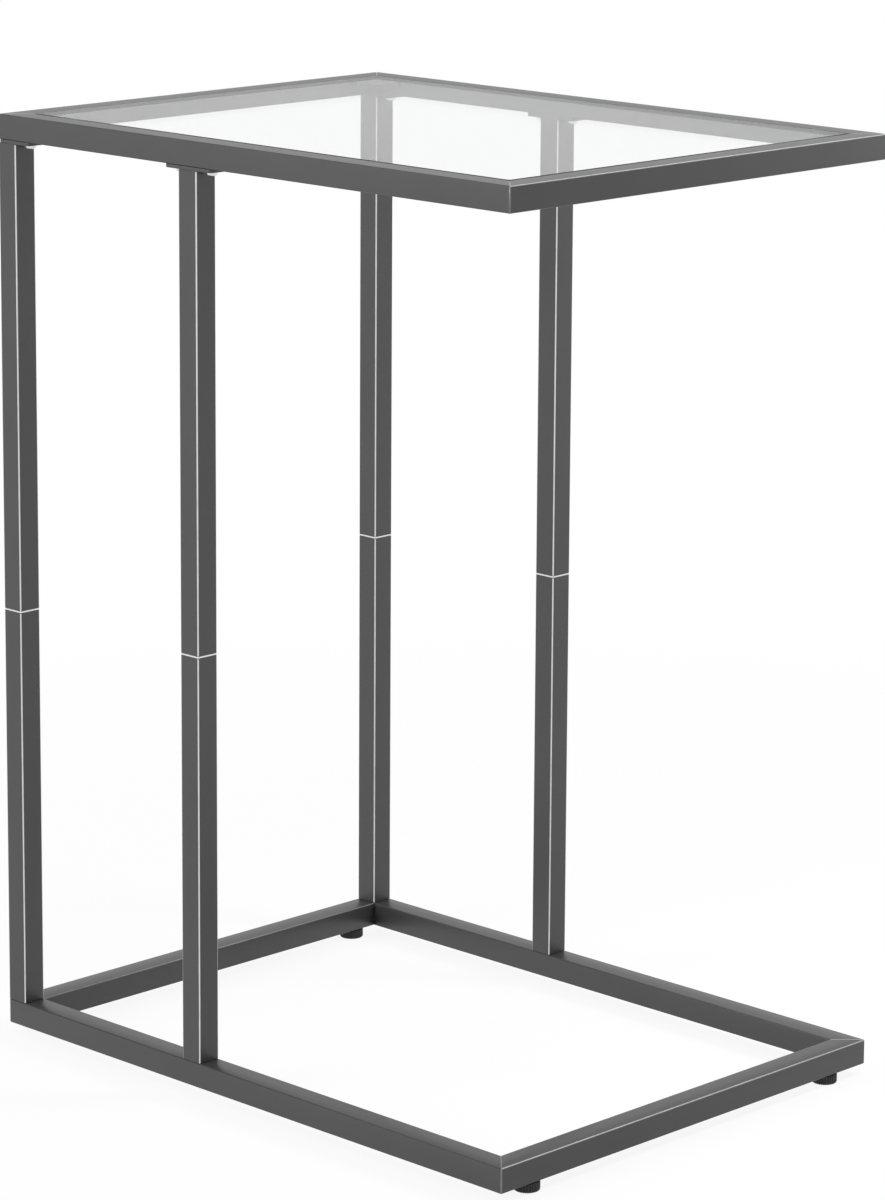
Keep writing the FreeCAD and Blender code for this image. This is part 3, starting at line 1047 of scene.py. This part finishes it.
@dataclass
class Uprights:
    """Four uprights of two tubes each, with the bright collars in their seams."""

    seam: float = 319 * MM
    collar: float = 1.2 * MM
    collar_inset: float = 0.3 * MM
    collar_ease: float = 0.15 * MM
    plug_long: float = 18 * MM
    plug_gap: float = 0.05 * MM
    plug_rounding: float = 0.5 * MM
    plug_bore: float = 4.05 * MM
    bore_slack: float = 0.1 * MM
    mid_x: float = -52.5 * MM
    end_ease: float = 0.45 * MM
    # Painted highlight in the middle of the long edges and on their flanks.
    highlight_peak: float = 1.0
    highlight_flank: float = 0.57
    level_lean: float = 0.1
    stock: TubeStock = field(default_factory=TubeStock)

    def places(self) -> dict[str, Pair]:
        """The axis of each upright, by its name."""
        posts = {"corner": -TABLE.axis_x, "mid": self.mid_x}
        return {f"{side.name.lower()}_{post}": (x, side.value * TABLE.axis_y)
                for side in Side for post, x in posts.items()}

    def build(self) -> None:
        """Set the tubes and collars and dress them."""
        runs = {"lower": (TABLE.base_top, self.seam - self.collar / 2),
                "upper": (self.seam + self.collar / 2, TABLE.plate_under)}
        for place, (x, y) in self.places().items():
            for part, (low, high) in runs.items():
                shape = self.stock.upright(low, high)
                shape.ease(self._at_ends(low, high), self.end_ease, segments=2)
                # Paint highlights onto the long edges.
                shape.burnish(self._painted_light)
                shape.shift(x, y, 0.0)
                shape.settle(f"{part}_upright_{place}", COAT, "table", f"{part}_tube_{place}")
        self._collars()

    def _painted_light(self, normal: Vector, middle: Vector) -> float:
        """Painted highlights on the four long edges of an upright.

        Args:
            normal: a face's normal.
            middle: the face's middle.

        Returns:
            The painted highlight of the face.
        """
        if middle.xy.length <= self.stock.half or abs(normal.z) >= self.level_lean:
            return 0.0
        return self.stock.edge_burnish(normal.x, normal.y, self.highlight_peak, self.highlight_flank)

    def _at_ends(self, low: float, high: float) -> Callable[[BMEdge], bool]:
        """Make a test for the outside edges of both ends.

        Args:
            low: height of the lower end.
            high: height of the upper end.

        Returns:
            The test.
        """
        def chosen(edge: BMEdge) -> bool:
            """Test an edge.

            Args:
                edge: the edge.

            Returns:
                Whether it lies in an end and on the outside of the tube.
            """
            first, second = (vert.co for vert in edge.verts)
            middle = (first + second) / 2
            at_end = Shape.is_level(edge) and min(abs(first.z - low), abs(first.z - high)) < TOLERANCE
            return at_end and max(abs(middle.x), abs(middle.y)) > self.stock.skin

        return chosen

    def _collars(self) -> None:
        """Set the four plugs whose collars show as bright seams."""
        shape = Shape()
        plug_half = self.stock.half - self.stock.wall - self.plug_gap
        plug = shape.square(plug_half, self.plug_rounding, segments=2)
        shape.raise_by(shape.pierce(plug, shape.circle(self.plug_bore, BORE_STEPS)), self.plug_long)
        shape.shift(0.0, 0.0, -self.plug_long)
        collar = Shape()
        ring = collar.square(self.stock.half - self.collar_inset, self.stock.rounding - self.collar_inset)
        collar.raise_by(collar.pierce(ring, collar.circle(self.plug_bore, BORE_STEPS)), self.collar)
        collar.ease(self._on_collar, self.collar_ease, segments=2)
        model = bpy.data.meshes.new("collar_model")
        collar.bm.to_mesh(model)
        collar.bm.free()
        shape.bm.from_mesh(model)
        bpy.data.meshes.remove(model)
        low = self.seam - self.collar / 2
        shape.repeat([(x, y, low) for x, y in self.places().values()])
        shape.settle("seam_collar_set", ZINC, "table", "lower_plugs")

    def _on_collar(self, edge: BMEdge) -> bool:
        """Whether a sharp edge lies on the outside of a collar, clear of its bore."""
        in_bore = all(vert.co.xy.length < self.plug_bore + self.bore_slack for vert in edge.verts)
        return Shape.is_sharp(edge) and not in_bore


@dataclass
class TopPlates:
    """Flat plates between the uprights and the long top rails."""

    uprights: Uprights
    reach: float = 14 * MM
    rounding: float = 3 * MM
    screw_reach: float = 6 * MM
    screw_hole: float = 2.55 * MM
    edge: float = 0.3 * MM

    def build(self) -> None:
        """Set the four plates and dress them."""
        half = self.uprights.stock.half
        for place, (x, y) in self.uprights.places().items():
            both = len(self.ends(place)) == 2
            shape = Shape()
            back = half + self.reach if both else half
            plate = shape.rectangle((-back, -half), (half + self.reach, half), self.rounding,
                                    segments=5)
            hole = shape.circle(self.screw_hole, BORE_STEPS, (half + self.screw_reach, 0.0, 0.0))
            faces = shape.pierce(plate, hole)
            shape.raise_by(shape.mirror_half() if both else faces, TABLE.plate)
            shape.ease(Shape.is_sharp, self.edge, segments=2)
            shape.shift(x, y, TABLE.plate_under)
            shape.settle(f"upright_plate_{place}", COAT, "table", f"top_plate_{place}")

    @staticmethod
    def ends(place: str) -> tuple[int, ...]:
        """The signs of the plate ends with a screw: one on a corner upright, two on a middle one."""
        return (1,) if place.endswith("corner") else (1, -1)

    def screw_places(self) -> list[Triple]:
        """The seat of each plate screw."""
        offset = self.uprights.stock.half + self.screw_reach
        return [(x + sign * offset, y, TABLE.plate_under)
                for place, (x, y) in self.uprights.places().items() for sign in self.ends(place)]


@dataclass
class GlassTop:
    """The loose pane, the gussets that carry it and the clear pads between them."""

    thick: float = 6 * MM
    gap: float = 1 * MM
    corner: float = 2 * MM
    edge: float = 0.6 * MM
    edge_lean: float = 0.9
    pad_thick: float = 1 * MM
    pad_radius: float = 5 * MM
    pad_inset: float = 9 * MM
    pad_steps: int = 32
    pad_profile: tuple[Pair, ...] = ((0.0, 0.0), (1.0, 0.0), (1.0, 0.45), (0.94, 0.8), (0.82, 0.97),
                                     (0.7, 1.0), (0.0, 1.0))
    gusset_leg: float = 26 * MM
    gusset_tip: float = 4 * MM
    gusset_thick: float = 2 * MM
    gusset_edge: float = 0.25 * MM

    @property
    def under(self) -> float:
        """Height of the underside of the pane."""
        return TABLE.height - self.thick

    def build(self) -> None:
        """Set the pane, gussets and pads and dress them."""
        self._pane()
        self._gussets()
        self._pads()

    def _pane(self) -> None:
        """Set the pane with its ground edge."""
        shape = Shape()
        x, y = (half - self.gap for half in TABLE.inner)
        pane = shape.rectangle((-x, -y), (x, y), self.corner, segments=5)
        shape.raise_by([pane], self.thick)
        shape.ease(Shape.is_level, self.edge)
        shape.burnish(lambda normal, middle: float(abs(normal.z) < self.edge_lean))
        shape.shift(0.0, 0.0, self.under)
        shape.settle("glass_top", GLASS, "glass", "glass_pane")

    def _gussets(self) -> None:
        """Set the four corner gussets."""
        leg, tip = self.gusset_leg, self.gusset_tip
        outline = [(0.0, 0.0), (leg, 0.0), (leg, tip), (tip, leg), (0.0, leg)]
        low = self.under - self.pad_thick - self.gusset_thick
        x, y = TABLE.inner
        corners = {"near_back": (-1, -1, 0), "near_open": (1, -1, 90),
                   "far_open": (1, 1, 180), "far_back": (-1, 1, 270)}
        for corner, (sign_x, sign_y, angle) in corners.items():
            shape = Shape()
            shape.raise_by([shape.polygon(outline)], self.gusset_thick)
            shape.ease(lambda edge: min(vert.co.x + vert.co.y for vert in edge.verts) > leg,
                       self.gusset_edge, segments=2)
            turn = Matrix.Rotation(math.radians(angle), 4, "Z")
            shape.move(Matrix.Translation((sign_x * x, sign_y * y, low)) @ turn)
            shape.settle(f"pane_gusset_{corner}", COAT, "table", f"glass_gusset_{corner}")

    def _pads(self) -> None:
        """Set the four clear pads."""
        shape = Shape()
        profile = [(wide * self.pad_radius, high * self.pad_thick) for wide, high in self.pad_profile]
        shape.turn(profile, self.pad_steps)
        x, y = (half - self.pad_inset for half in TABLE.inner)
        low = self.under - self.pad_thick
        shape.repeat([(end.value * x, side.value * y, low) for end in End for side in Side])
        shape.settle("clear_pad_set", PADS, "table", "glass_bumpers")


# Fasteners


@dataclass
class HeadedScrew:
    """A screw along Z, with its domed head below z 0 and its shank above."""

    head_radius: float
    head_high: float
    shank_radius: float
    length: float
    recess: Recess
    recess_size: float
    recess_deep: float
    recess_taper: float = 0.82
    cross_share: float = 0.27
    dome_share: float = 0.55
    dome_steps: int = 6
    seat_ease: float = 0.15 * MM
    point: float = 0.6 * MM

    def build(self) -> Shape:
        """Model the screw.

        Returns:
            The screw, with its seat at the origin.
        """
        shape = Shape()
        dome = self.dome_share * self.head_high
        middle, level = self.head_radius - dome, dome - self.head_high
        angles = [QUARTER_TURN * step / self.dome_steps for step in range(self.dome_steps + 1)]
        arc = [(middle + dome * math.sin(angle), level - dome * math.cos(angle)) for angle in angles]
        shank = [(self.head_radius, -self.seat_ease), (self.head_radius - self.seat_ease, 0.0),
                 (self.shank_radius, 0.0), (self.shank_radius, self.length - self.point),
                 (self.shank_radius - self.point, self.length), (0.0, self.length)]
        shape.turn(arc + shank, ROUND_STEPS)
        self._sink_recess(shape)
        return shape

    def _sink_recess(self, shape: Shape) -> None:
        """Close the open top of the head with a driver recess.

        Args:
            shape: the screw in the making.
        """
        rim = [edge for edge in shape.bm.edges if edge.is_boundary]
        face = shape.polygon(self._outline())
        shape.lift(face.verts, -self.head_high)
        edges = shape.open_up(face)
        bmesh.ops.bridge_loops(shape.bm, edges=rim + edges)
        floor = bmesh.ops.contextual_create(shape.bm, geom=edges)["faces"]
        sunk = shape.points(bmesh.ops.extrude_face_region(shape.bm, geom=floor)["geom"])
        bmesh.ops.delete(shape.bm, geom=floor, context="FACES_ONLY")
        shape.lift(sunk, self.recess_deep)
        bmesh.ops.scale(shape.bm, vec=(self.recess_taper, self.recess_taper, 1.0), verts=sunk)
        shape.tidy()

    def _outline(self) -> list[Pair]:
        """Draw the outline of the driver recess.

        Returns:
            Its corners, anticlockwise.
        """
        size = self.recess_size
        if self.recess is Recess.HEX:
            angles = [math.tau * corner / 6 for corner in range(6)]
            return [(size * math.cos(angle), size * math.sin(angle)) for angle in angles]
        half = self.cross_share * size
        quarter = [(size, -half), (size, half), (half, half)]
        points: list[Pair] = []
        for _ in range(4):
            points += quarter
            quarter = [(-y, x) for x, y in quarter]
        return points


@dataclass
class Fasteners:
    """Plate screws, base bolts and their washers."""

    plates: TopPlates
    washer_thick: float = 1.2 * MM
    washer_radius: float = 6 * MM
    washer_hole: float = 3.3 * MM
    washer_ease: float = 0.2 * MM

    def build(self) -> None:
        """Set the fasteners and dress them."""
        uprights = self.plates.uprights
        seat = TABLE.base_top - uprights.stock.wall - self.washer_thick
        seats = [(x, y, seat) for x, y in uprights.places().values()]
        screw = HeadedScrew(head_radius=4 * MM, head_high=3 * MM, shank_radius=2.5 * MM,
                            length=9.5 * MM, recess=Recess.CROSS, recess_size=2.2 * MM,
                            recess_deep=1.6 * MM)
        bolt = HeadedScrew(head_radius=5.25 * MM, head_high=3.2 * MM, shank_radius=3 * MM,
                           length=16.4 * MM, recess=Recess.HEX, recess_size=2.31 * MM,
                           recess_deep=2 * MM)
        sets = {"plate_screw": (screw.build(), self.plates.screw_places()),
                "base_bolt": (bolt.build(), seats),
                "base_washer": (self._washer(), seats)}
        for name, (shape, places) in sets.items():
            shape.repeat(places)
            shape.settle(f"{name}_set", ZINC, "table", f"{name}s")

    def _washer(self) -> Shape:
        """Model a washer.

        Returns:
            The washer, lying on z 0.
        """
        shape = Shape()
        inner, outer = self.washer_hole, self.washer_radius
        thick, ease = self.washer_thick, self.washer_ease
        shape.turn([(inner, 0.0), (outer - ease, 0.0), (outer, ease), (outer, thick - ease),
                    (outer - ease, thick), (inner, thick), (inner, 0.0)], ROUND_STEPS)
        return shape


@dataclass
class LevellingFeet:
    """Four screw feet, each a fluted pad on a threaded stud in an insert."""

    foot_y: float = 154 * MM
    pad_radius: float = 9 * MM
    pad_top: float = 6.7 * MM
    pad_ease: float = 0.4 * MM
    pad_rounding: float = 1.4 * MM
    pad_round_steps: int = 5
    flutes: int = 30
    flute_steps: int = 6
    flute_deep: float = 0.55 * MM
    stud_radius: float = 3 * MM
    stud_low: float = 2 * MM
    stud_high: float = 20 * MM
    pitch: float = 1 * MM
    thread_deep: float = 0.55 * MM
    thread_rise: tuple[float, ...] = (0.0, 0.12, 0.5, 0.62, 1.0)
    thread_steps: int = 24
    spare_turns: int = 3
    bore: float = 3.05 * MM
    insert_radius: float = 4.5 * MM
    insert_long: float = 12 * MM
    rim_radius: float = 6.5 * MM
    rim_thick: float = 0.8 * MM
    rim_ease: float = 0.2 * MM

    def places(self) -> dict[str, Pair]:
        """The axis of each foot, by its name."""
        return {f"{side.name.lower()}_{end.name.lower()}":
                (end.value * TABLE.axis_x, side.value * self.foot_y) for side in Side for end in End}

    def build(self) -> None:
        """Set the inserts, studs and pads and dress them."""
        insert = self._insert()
        insert.repeat([(x, y, TABLE.foot_gap) for x, y in self.places().values()])
        insert.settle("foot_insert_set", ZINC, "table", "foot_inserts")
        for place, (x, y) in self.places().items():
            for part, shape, finish in (("stud", self._stud(), ZINC), ("pad", self._pad(), BLACK)):
                shape.shift(x, y, 0.0)
                shape.settle(f"levelling_{part}_{place}", finish, f"{place}_{part}", f"foot_{part}_{place}")

    def _insert(self) -> Shape:
        """Model a rimmed insert.

        Returns:
            The insert, with its rim below z 0.
        """
        shape = Shape()
        inner, outer, wide, low = self.bore, self.insert_radius, self.rim_radius, -self.rim_thick
        shape.turn([(inner, low), (wide - self.rim_ease, low), (wide, self.rim_ease + low), (wide, 0.0),
                    (outer, 0.0), (outer, self.insert_long), (inner, self.insert_long), (inner, low)],
                   ROUND_STEPS)
        return shape

    def _stud(self) -> Shape:
        """Model a stud whose thread winds right up it.

        Returns:
            The stud, round the Z axis.
        """
        shape = Shape()
        turns = round((self.stud_high - self.stud_low) / self.pitch) + self.spare_turns
        start = self.stud_low - self.spare_turns / 2 * self.pitch
        crest, root = self.stud_radius, self.stud_radius - self.thread_deep
        heights = [start + rise * self.pitch for rise in self.thread_rise]
        thread = shape.wire(list(zip((root, root, crest, crest, root), heights)))
        bmesh.ops.spin(shape.bm, geom=thread, cent=(0, 0, 0), axis=(0, 0, 1),
                       dvec=(0, 0, self.pitch / self.thread_steps), angle=math.tau * turns,
                       steps=self.thread_steps * turns)
        shape.tidy()
        shape.cut(Vector((0, 0, self.stud_low)), Vector((0, 0, -1)))
        shape.cut(Vector((0, 0, self.stud_high)), Vector((0, 0, 1)))
        shape.tidy()
        return shape

    def _pad(self) -> Shape:
        """Model a pad with grip flutes, a rounded lower edge and a blind hole for its stud.

        Returns:
            The pad, standing on z 0.
        """
        shape = Shape()
        radius, rounding = self.pad_radius, self.pad_rounding
        outline = bmesh.ops.create_circle(shape.bm, cap_ends=True, radius=radius,
                                          segments=self.flute_steps * self.flutes)["verts"]
        hollow = 1 - self.flute_deep / radius
        sunk = [vert for index, vert in enumerate(outline)
                if index % self.flute_steps >= self.flute_steps // 2]
        bmesh.ops.scale(shape.bm, vec=(hollow, hollow, 1.0), verts=sunk)
        angles = [QUARTER_TURN * step / self.pad_round_steps for step in range(self.pad_round_steps + 1)]
        rings = [(radius - rounding * (1 - math.sin(angle)), rounding * (1 - math.cos(angle)))
                 for angle in angles]
        rings += [(radius, self.pad_top - self.pad_ease), (radius - self.pad_ease, self.pad_top)]
        face = next(iter(shape.bm.faces))
        size, height = radius, 0.0
        for index, (wide, high) in enumerate(rings):
            if index > 0:
                face = self._step_up(shape, face)
            bmesh.ops.scale(shape.bm, vec=(wide / size, wide / size, 1.0), verts=list(face.verts))
            shape.lift(face.verts, high - height)
            size, height = wide, high
        hole = shape.circle(self.bore, ROUND_STEPS, (0.0, 0.0, self.pad_top))
        shape.pierce(face, hole)
        wall = bmesh.ops.extrude_edge_only(shape.bm, edges=hole)["geom"]
        shape.lift(shape.points(wall), self.stud_low - self.pad_top)
        rim = [part for part in wall if isinstance(part, BMEdge) and part.is_boundary]
        bmesh.ops.contextual_create(shape.bm, geom=rim)
        shape.tidy()
        return shape

    @staticmethod
    def _step_up(shape: Shape, face: BMFace) -> BMFace:
        """Extrude the top face of a pad in the making; only the underside stays as a face.

        Args:
            shape: the pad.
            face: its top face.

        Returns:
            The new top face.
        """
        made = bmesh.ops.extrude_face_region(shape.bm, geom=[face])
        top = next(part for part in made["geom"] if isinstance(part, BMFace))
        if face.calc_center_median().z > 0:
            shape.open_up(face)
        return top


@dataclass
class HiddenHardware:
    """CAD pieces that stay as they are, inside the uprights."""

    nodes: tuple[str, ...] = ("upper_plugs", "base_plugs", "seam_studs")

    def dress(self) -> None:
        """Give the hidden CAD pieces the zinc finish."""
        for name in self.nodes:
            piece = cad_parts[name]
            piece.data.materials.clear()
            piece.data.materials.append(ZINC.material())
            LOG.info("CAD piece %s keeps its shape", name)


# Studio


def direction(azimuth: float, elevation: float) -> Vector:
    """The way from the table to a place at an azimuth and an elevation in degrees."""
    turn, lift = math.radians(azimuth), math.radians(elevation)
    return Vector((math.sin(turn) * math.cos(lift), -math.cos(turn) * math.cos(lift), math.sin(lift)))


@dataclass
class Softbox:
    """A square lamp with even light, aimed at a point."""

    name: str
    azimuth: float
    elevation: float
    distance: float
    width: float
    radiance: float
    target: Triple = (0.0, 0.0, 0.34)
    mirrored: bool = True

    def build(self) -> None:
        """Hang the lamp."""
        back = direction(self.azimuth, self.elevation)
        lamp = bpy.data.lights.new(self.name, "AREA")
        lamp.shape = "SQUARE"
        lamp.size = self.width
        lamp.energy = math.pi * self.width**2 * self.radiance
        holder = put_in_scene(self.name, lamp)
        holder.location = Vector(self.target) + back * self.distance
        holder.rotation_mode = "QUATERNION"
        holder.rotation_quaternion = (-back).to_track_quat("-Z", "Y")
        holder.visible_camera = False
        holder.visible_transmission = False
        holder.visible_glossy = self.mirrored


@dataclass
class Studio:
    """A pale floor, a white surround and soft lamps."""

    fill: float = 0.5
    swing: float = 0.5
    bright_side: Triple = (-1.0, 0.0, 0.0)
    floor_half: float = 30.0
    floor_gap: float = 0.02 * MM
    floor_tone: float = 0.8
    shadow_share: float = 0.1
    shadow_reach: float = 0.9
    shadow_fade: float = 1.5
    lamps: tuple[Softbox, ...] = (
        Softbox("front_softbox", azimuth=-20.0, elevation=22.0, distance=3.4, width=1.5, radiance=9.0),
        Softbox("far_softbox", azimuth=165.0, elevation=43.0, distance=2.6, width=0.9, radiance=2.5),
        Softbox("right_softbox", azimuth=145.4, elevation=45.6, distance=0.63, width=0.3, radiance=22.0,
                target=(0.25, 0.188, 0.35), mirrored=False),
        Softbox("top_softbox", azimuth=20.0, elevation=80.0, distance=3.0, width=2.4, radiance=0.8),
    )

    def build(self) -> None:
        """Set the floor, the surround and the lamps."""
        bpy.context.scene.view_settings.view_transform = "Standard"
        self._surround()
        self._floor()
        for lamp in self.lamps:
            lamp.build()

    @staticmethod
    def _seen(bench: NodeBench) -> Signal:
        """1 for rays from the camera, mirrors and glass, and 0 for the light itself."""
        return bench.rays("Is Camera Ray", "Is Glossy Ray", "Is Transmission Ray")

    def _surround(self) -> None:
        """White to look at, and a soft fill that is brighter on one side to light with."""
        world = bpy.data.worlds.new("white_surround")
        world.use_nodes = True
        bpy.context.scene.world = world
        bench = NodeBench(world.node_tree)
        seen = self._seen(bench)
        outlook = bench.node("ShaderNodeTexCoord", {}, {}).outputs["Generated"]
        level = self.fill + bench.measure("DOT_PRODUCT", outlook, self.bright_side) * self.swing
        sky = bench.shader("Background", {"Color": grey(1.0), "Strength": seen + (1.0 - seen) * level})
        bench.node("ShaderNodeOutputWorld", {}, {"Surface": sky})

    def _floor(self) -> None:
        """A wide pale floor, clear from below, that is white to look at and keeps the table's shadow."""
        material = bpy.data.materials.new("pale_floor")
        material.use_nodes = True
        bench = NodeBench(material.node_tree)
        matt = bench.shader("BsdfDiffuse", {"Color": grey(self.floor_tone)})
        glow = bench.shader("Emission", {"Color": grey(1.0), "Strength": 1.0})
        away = bench.measure("LENGTH", bench.place()) * (1.0 / self.shadow_reach)
        near = (self.shadow_fade - away).clamped()
        share = self._seen(bench) * (1.0 - near * self.shadow_share)
        lit = bench.shader("MixShader", {0: share, 1: matt, 2: glow})
        clear = bench.shader("BsdfTransparent", {})
        under = bench.node("ShaderNodeNewGeometry", {}, {}).outputs["Backfacing"]
        bench.surface(bench.shader("MixShader", {0: under, 1: lit, 2: clear}))
        mesh = bpy.data.meshes.new("studio_floor")
        made = bmesh.new()
        bmesh.ops.create_grid(made, x_segments=1, y_segments=1, size=self.floor_half,
                              matrix=Matrix.Translation((0.0, 0.0, -self.floor_gap)))
        made.to_mesh(mesh)
        made.free()
        mesh.materials.append(material)
        floor = put_in_scene("studio_floor", mesh)
        floor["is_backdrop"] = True


@dataclass
class PhotoCamera:
    """The camera at the photograph's viewing angle."""

    place: Triple = (2.2252, -2.2605, 1.0823)
    azimuth: float = 44.460
    pitch: float = 10.972
    roll: float = -0.346
    focal_pixels: float = 4575.4
    centre_row: float = 420.0
    tall: int = 1200
    sensor: float = 36.0
    clip_end: float = 100.0

    def build(self) -> None:
        """Set up the camera and make it the scene's."""
        back = direction(self.azimuth, self.pitch)
        roll = math.radians(self.roll)
        level = (-back).cross(Vector((0.0, 0.0, 1.0))).normalized()
        upward = back.cross(level)
        right = level * math.cos(roll) - upward * math.sin(roll)
        top = upward * math.cos(roll) + level * math.sin(roll)
        lens = bpy.data.cameras.new("photo_camera")
        lens.sensor_width = self.sensor
        lens.lens = self.focal_pixels * self.sensor / self.tall
        lens.shift_y = (self.centre_row - self.tall / 2) / self.tall
        lens.clip_end = self.clip_end
        camera = put_in_scene("photo_camera", lens)
        axes = Matrix((right, top, back)).transposed().to_4x4()
        camera.matrix_world = Matrix.Translation(self.place) @ axes
        bpy.context.scene.camera = camera


def corners(box: tuple[Vector, Vector]) -> list[list[float]]:
    """The two corners of a box as plain lists."""
    return [[float(value) for value in corner] for corner in box]


def main() -> None:
    """Build the table, the studio and the camera in order."""
    uprights = Uprights()
    plates = TopPlates(uprights)
    # The base rails have shade painted on the upper edges of the near and far rail and highlights on the
    # others.
    RailFrame("base", axis_height=TABLE.foot_gap + TABLE.tube / 2,
              bolts=tuple(uprights.places().values()), upper_edge_light=(-1.0, 0.5, -0.8, 0.22),
              even=False).build()
    uprights.build()
    plates.build()
    RailFrame("top", axis_height=TABLE.height - TABLE.tube / 2).build()
    GlassTop().build()
    Fasteners(plates).build()
    LevellingFeet().build()
    HiddenHardware().dress()
    Studio().build()
    PhotoCamera().build()
    sizes = {"cad": corners(CAD_BOX), "visual": corners(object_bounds())}
    LOG.info("boxes: %s", sizes)


if __name__ == "__main__":
    main()
